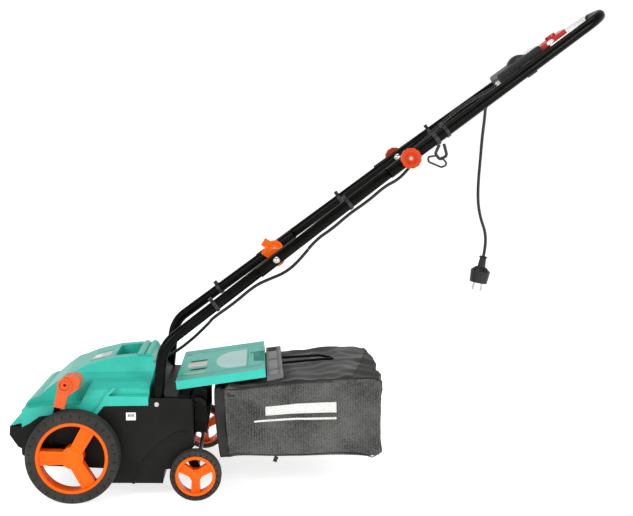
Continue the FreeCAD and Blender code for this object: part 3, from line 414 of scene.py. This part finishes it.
# Folds fan out from the corners of each side: x, z, how far they reach, how they are turned
CORNER_FOLDS = ((672, 92, 150, 0.3), (672, 250, 190, 1.4), (306, 92, 120, 2.2),
                (306, 236, 110, 0.8))


def bag_top(x):
    """Height of the bag's top along its length: it rises to the collar, then a little more."""
    if x < COLLAR_X:
        slope = (x - BAG_LOW[0]) / (COLLAR_X - BAG_LOW[0])
        return MOUTH_HEIGHT + slope * (COLLAR_HEIGHT - MOUTH_HEIGHT)
    return COLLAR_HEIGHT + min(x - COLLAR_X, 60) / 60 * 6 + (x - COLLAR_X) / 245 * 6


def wrinkle(x, y, z):
    """Cloth waves, in millimetres out of the surface: soft swells, corner folds, a creased top."""
    p = Vector((x, y, z)) / 1000
    wide = noise.noise(p * 8 + Vector((3.1, 0.4, 7.7)))
    tight = noise.noise(Vector((p.x * 15 + p.z * 22, p.y * 15, p.z * 36)))
    fold = 0.0
    for cx, cz, reach, phase in CORNER_FOLDS:
        away = math.hypot(x - cx, z - cz)
        turn = math.atan2(z - cz, x - cx)
        ridge = 1 - 2 * abs(math.sin(turn * 4.5 + phase))
        fold += ridge * math.exp(-away / reach) * min(1, away / 30)
    crumple = noise.noise(Vector((p.x * 26, p.y * 22, 4.0))) if z > 225 else 0.0
    return 4.2 * wide + 2.4 * tight + 8.5 * fold + 5.0 * crumple


def on_rounded_box(x, y, z):
    """The point on the box with rounded edges, and the direction out of it."""
    p = Vector((x, y, z))
    core = Vector((
        min(x, BAG_HIGH[0] - SIDE_ROUNDING),
        max(BAG_LOW[1] + SIDE_ROUNDING, min(y, BAG_HIGH[1] - SIDE_ROUNDING)),
        max(BAG_LOW[2] + TOP_ROUNDING, min(z, BAG_HIGH[2] - TOP_ROUNDING))))
    away = p - core
    normal = away.normalized() if away.length > 1e-6 else Vector((0, 0, 1))
    limit = TOP_ROUNDING if abs(away.z) > 1e-6 else SIDE_ROUNDING
    return (core + normal * limit if away.length > limit else p), normal


def bag_skin(x, y, z, proud=0.0):
    """Where a point of the plain box lies on the hanging cloth, proud millimetres out of it."""
    p, normal = on_rounded_box(x, y, z)
    fade = min(1, (x - BAG_LOW[0]) / 30)                # no waves where the frame holds the mouth
    calm = 0.25 if z <= BAG_LOW[2] + 1 else 1           # nor many on the underside
    along = (x - BAG_LOW[0]) / (BAG_HIGH[0] - BAG_LOW[0])
    rise = (p.z - BAG_LOW[2]) / (BAG_HIGH[2] - BAG_LOW[2])
    out = wrinkle(p.x, p.y, p.z) * fade * calm - 1.0 + proud
    height = BAG_LOW[2] + rise * (bag_top(x) - BAG_LOW[2])
    middle = 1 - (y / HALF_WIDTH) ** 2
    if rise > 0.85:
        height -= 5 * middle * math.sin(math.pi * min(1, along)) * (rise - 0.85) / 0.15
    belly = math.sin(math.pi * rise)
    rear_bulge = along ** 4 * (10 * rise ** 2 * middle + 2 * belly)
    mouth_slant = 13 * (1 - rise) ** 2 * (1 - along) ** 2
    waist = 1 - 0.02 * fade - 0.02 * belly * math.sin(math.pi * min(1, along))
    far_lift = 4 * rise ** 2 * max(0, y / HALF_WIDTH)
    p = Vector((p.x + rear_bulge + mouth_slant, p.y * waist, height + far_lift)) + normal * out
    p.x = min(p.x, SKIN_HIGH[0])
    p.y = max(-SKIN_HIGH[1], min(SKIN_HIGH[1], p.y))
    p.z = max(SKIN_LOW_Z, min(p.z, SKIN_HIGH[2]))
    return at(*p)


def skin_mesh(name, cells, material, proud, thickness):
    """Cloth over a list of four-cornered cells of the plain box, each corner (x, y, z)."""
    bm = bmesh.new()
    found = {}

    def vert(corner):
        key = tuple(round(v, 2) for v in corner)
        if key not in found:
            found[key] = bm.verts.new(bag_skin(*corner, proud))
        return found[key]

    for cell in cells:
        bm.faces.new([vert(corner) for corner in cell])
    piece = from_bmesh(name, bm, material, "catch_bag", smooth=True)
    shell = piece.modifiers.new("thickness", "SOLIDIFY")
    shell.thickness = thickness
    shell.offset = -1
    return piece


def cells_over(us, vs, place):
    """Cells of a grid over us and vs, with each corner at place(u, v)."""
    return [(place(a, c), place(b, c), place(b, d), place(a, d))
            for a, b in zip(us, us[1:]) for c, d in zip(vs, vs[1:])]


def side_cells(y, xs, zs):
    return cells_over(xs, zs, lambda x, z: (x, y, z))


def build_bag():
    (x0, y0, z0), (x1, y1, z1) = BAG_LOW, BAG_HIGH
    xs, ys, zs = (steps(*ends) for ends in zip(BAG_LOW, BAG_HIGH, BAG_CELLS))
    top = cells_over(xs, ys, lambda x, y: (x, y, z1))
    bottom = cells_over(xs, ys, lambda x, y: (x, y, z0))
    sides = side_cells(y0, xs, zs) + side_cells(y1, xs, zs)
    back = cells_over(ys, zs, lambda y, z: (x1, y, z))
    bag = skin_mesh("bag_cloth", top + bottom + sides + back, MATERIALS["bag_mesh"],
                    0.0, 0.0012)
    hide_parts("bag_fabric")
    bag.data.materials.append(EXTRA["bag_top_shaded_mesh"])
    # Painted shade: faces that look up get the darker copy of the net.
    for face in bag.data.polygons:
        if face.normal.z > 0.7 and face.center.z > 0.2:
            face.material_index = 1

    corner = [cell for cell in top if cell[0][0] > 607 + (cell[0][1] + 170) * 0.157]
    corner += [cell for cell in back if cell[0][2] > 205]
    skin_mesh("bag_corner_patch", corner, EXTRA["bag_patch"], 0.7, 0.0008)
    border = [cell for cell in sides + top if cell[1][0] < 327]
    skin_mesh("bag_border", border, EXTRA["bag_binding"], 0.8, 0.001)
    for name, x, z in (("bag_mark_bar", (414, 571), (177, 199)),
                       ("bag_mark_line", (388, 571), (163, 167.5))):
        skin_mesh(name, side_cells(y0, steps(*x, 60), steps(*z, 8)), EXTRA["bag_print"],
                  0.45, 0.0003)

    seams = {}
    for level, z in (("top", z1 - 3), ("low", z0 + 3)):
        for side, y in (("near", y0 + 3), ("far", y1 - 3)):
            seams[f"{side}_{level}"] = [(x, y, z) for x in steps(x0, x1 - 8, 70)]
    for side, y in (("near", y0 + 6), ("far", y1 - 6)):
        seams[f"{side}_back"] = [(x1 - 6, y, z) for z in steps(z0 + 4, z1 - 4, 30)]
    for name, points in seams.items():
        seam = tube("bag_seam_" + name, [bag_skin(*p, 0.3) for p in points], 0.0012, "POLY", 3)
        dress(seam, EXTRA["bag_binding"], "catch_bag")


build_bag()

COLLAR_TILT = -0.17
rounded_block("bag_strap_end", at(437, -187, 77.5), (9, 1.6, 13), 0.35, 0.6,
              EXTRA["bag_binding"], "catch_bag")
for label, y0, y1, material in (("far_block", 128, 176, "bag_binding"),
                                ("far_panel", 20, 120, "collar_grey"),
                                ("near_panel", -112, -2, "collar_grey"),
                                ("near_block", -176, -124, "collar_grey")):
    rounded_block("bag_collar_" + label, at(433, (y0 + y1) / 2, 263.8), (22, y1 - y0, 3.2),
                  COLLAR_TILT, 1.2, EXTRA[material], "catch_bag")
rounded_block("bag_collar_lip", at(451, 0, 266.2), (5, 366, 5.2), COLLAR_TILT, 2,
              EXTRA["collar_grey"], "catch_bag")

# ---- Flap details, laid out along the flap (u) and across it (y) in millimetres ----

FLAP_ANGLE = math.radians(7.55)
FLAP_FACE = 17      # height of its outer face over the line through its hinge


def on_flap(u, y, lift):
    return at(221 + u * math.cos(FLAP_ANGLE) - lift * math.sin(FLAP_ANGLE), y,
              237 + u * math.sin(FLAP_ANGLE) + lift * math.cos(FLAP_ANGLE))


def flap_decal(name, outline, thickness, material, lift=FLAP_FACE):
    decal("flap_" + name, outline, on_flap, lift, thickness, EXTRA[material], "flap")


def half_oval(count=13):
    """Rounded front end of the large label."""
    for k in range(count):
        turn = math.pi * (k + 0.5) / count
        yield 122 - 38 * math.sin(turn), -11 + 103 * math.cos(turn)


def vent(u0, u1, y0, y1):
    """Slot with pointed ends; its plate is painted shade for the dark vent opening."""
    middle = (y0 + y1) / 2
    return [(u0, middle), (u0 + 6, y0), (u1 - 6, y0), (u1, middle), (u1 - 6, y1), (u0 + 6, y1)]


def border_strips(u0, u1, y0, y1, width):
    """Four thin strips round a rectangle."""
    return {"a": rectangle(u0, u1, y0, y0 + width), "b": rectangle(u0, u1, y1 - width, y1),
            "c": rectangle(u0, u0 + width, y0 + width, y1 - width),
            "d": rectangle(u1 - width, u1, y0 + width, y1 - width)}


flap_decal("label", [(155, -114), (155, 92), *half_oval()], 0.35, "label_pale")
flap_decal("small_label", rectangle(18, 62, -44, 8), 0.35, "label_pink")
# Painted shade: black plates where the vent openings lie in shade.
flap_decal("vent_far", vent(20, 64, 22, 34), 0.3, "gap_black")
flap_decal("vent_near", vent(24, 66, -84, -70), 0.3, "gap_black")
flap_decal("yellow_strip", rectangle(14, 62, -122, -112), 0.3, "strip_yellow")
# Painted shade: grooves and panel lines are thin darker teal plates standing for the shade inside
# them.
flap_decal("near_groove", rectangle(8, 190, -140, -140 + 1.6), 0.2, "groove_teal")
flap_decal("far_groove", rectangle(8, 190, 138, 138 + 1.6), 0.2, "groove_teal")
for part, outline in border_strips(158, 193, -124, 104, 1.2).items():
    flap_decal("panel_line_" + part, outline, 0.2, "groove_teal")
# Painted shade: a dark teal plate where the flap's recess lies in shade, and a darker plate inside
# it for the recess's depth.
flap_decal("recess_shade", [(172, -70), (197, -86), (197, 46), (172, 46)], 0.35, "recess_teal")
flap_decal("recess_deep_painted_shade", [(173.5, -20), (186, -20), (186, 44.5), (173.5, 44.5)], 0.15,
           "groove_teal", FLAP_FACE + 0.35)

# ---- Hood, sides, switch: stickers and small marks, in millimetres ----

SIDE_FACE = 200.2
SWITCH = 1018       # distance of the switch up the handle


def on_hood(x, y, lift):
    """On the hood's sloping top."""
    return at(x - lift * 0.246, y, 278 + (x - 17) * 0.2545 + lift * 0.969)


def on_side(x, z, lift):
    return at(x, -(SIDE_FACE + lift), z)


def on_lever_side(s, lift, out):
    return on_handle(s, -(30.1 + out), lift)


decal("hood_label", rectangle(20, 62, -50, 4), on_hood, 0.1, 0.5, EXTRA["label_pink"], "chassis")
decal("hood_label_field", rectangle(24, 40, -44, -2), on_hood, 0.6, 0.15,
      EXTRA["sticker_white"], "chassis")
decal("side_sticker", rectangle(111.5, 132.5, 171.5, 188.5), on_side, 0, 0.35,
      EXTRA["sticker_white"], "chassis")
for label, x0, x1 in (("left", 116, 119.5), ("middle", 121, 123.5), ("right", 125, 128.5)):
    decal("side_sticker_block_" + label, rectangle(x0, x1, 179, 185.5), on_side, 0.35, 0.1,
          EXTRA["sticker_grey"], "chassis")
decal("box_top_label", rectangle(1042, 1073, -38, 38), on_handle, 28, 1.0,
      EXTRA["sticker_white"], "grip_handle")

# Pale sleeve over the far arm of the grip and round part of its bend
BEND_S, BEND_Y, BEND_RADIUS = 1175, 16.8, 60
far_arm = [(s, 136.6 - 0.12 * (s - UPPER_JOINT)) for s in steps(1128, 1182, 6)]
far_arm += [(BEND_S + BEND_RADIUS * math.sin(turn), BEND_Y + BEND_RADIUS * math.cos(turn))
            for turn in steps(math.radians(9), math.radians(66), 11)]
dress(tube("grip_pale_sleeve", [on_handle(s, y, 0) for s, y in far_arm], 0.0136, "POLY", 3),
      EXTRA["film_pale"], "grip_handle")

oval_turns = [2 * math.pi * k / 28 for k in range(28)]
oval = [(SWITCH + 88 + 9 * math.cos(turn), 16.5 + 4.9 * math.sin(turn)) for turn in oval_turns]
decal("lever_sticker", oval, on_lever_side, 0, 0.3, EXTRA["sticker_white"], "switch_trigger")
rounded_block("switch_gland", on_handle(956.5, -26, 8), (13, 26, 16), -GRIP_ANGLE, 3,
              EXTRA["gland_clear"], "grip_handle")

# ---- Floor ----

FLOOR_REACH = 130

floor_mesh = bpy.data.meshes.new("floor")
floor_mesh.from_pydata([(x * FLOOR_REACH, y * FLOOR_REACH, 0)
                        for x, y in ((-1, -1), (1, -1), (1, 1), (-1, 1))], [], [(0, 1, 2, 3)])
floor = bpy.data.objects.new("floor", floor_mesh)
bpy.context.scene.collection.objects.link(floor)
floor_material, floor_tree, floor_shader = new_material("floor")
floor_shader.inputs["Base Color"].default_value = (0.86, 0.86, 0.86, 1)
floor_shader.inputs["Roughness"].default_value = 1.0
floor_shader.inputs["Specular IOR Level"].default_value = 0.0
floor_shader.inputs["Emission Color"].default_value = (1, 1, 1, 1)
floor_shader.inputs["Emission Strength"].default_value = 0.72
floor_mesh.materials.append(floor_material)

# ---- Light: a white surround, dimmer overhead, and three soft lamps ----

world = bpy.data.worlds.new("studio")
world.use_nodes = True
sky = world.node_tree
direction = add(sky, "ShaderNodeTexCoord")
split = add(sky, "ShaderNodeSeparateXYZ")
sky.links.new(direction.outputs["Generated"], split.inputs["Vector"])
fall = add(sky, "ShaderNodeMapRange")
fall.inputs["From Min"].default_value = 0.16
fall.inputs["From Max"].default_value = 0.5
fall.inputs["To Min"].default_value = 1.02
fall.inputs["To Max"].default_value = 0.4
sky.links.new(split.outputs["Z"], fall.inputs["Value"])
background = sky.nodes["Background"]
sky.links.new(fall.outputs["Result"], background.inputs["Strength"])
background.inputs["Color"].default_value = (1, 1, 1, 1)
bpy.context.scene.world = world


def area_light(name, place, target, width, height, power):
    data = bpy.data.lights.new(name, "AREA")
    data.shape = "RECTANGLE"
    data.size = width
    data.size_y = height
    data.energy = power
    obj = bpy.data.objects.new(name, data)
    bpy.context.scene.collection.objects.link(obj)
    obj.location = place
    aim = Vector(target) - Vector(place)
    obj.rotation_euler = aim.to_track_quat("-Z", "Y").to_euler()


area_light("key", (-1.9, -2.6, 1.9), (-0.2, 0, 0.3), 1.3, 1.3, 42)
area_light("fill", (2.2, -2.6, 1.4), (0, 0, 0.4), 1.2, 1.2, 46)
area_light("top", (0.1, -0.3, 3.0), (0, 0, 0.3), 1.8, 1.0, 20)
bpy.context.scene.view_settings.view_transform = "Standard"
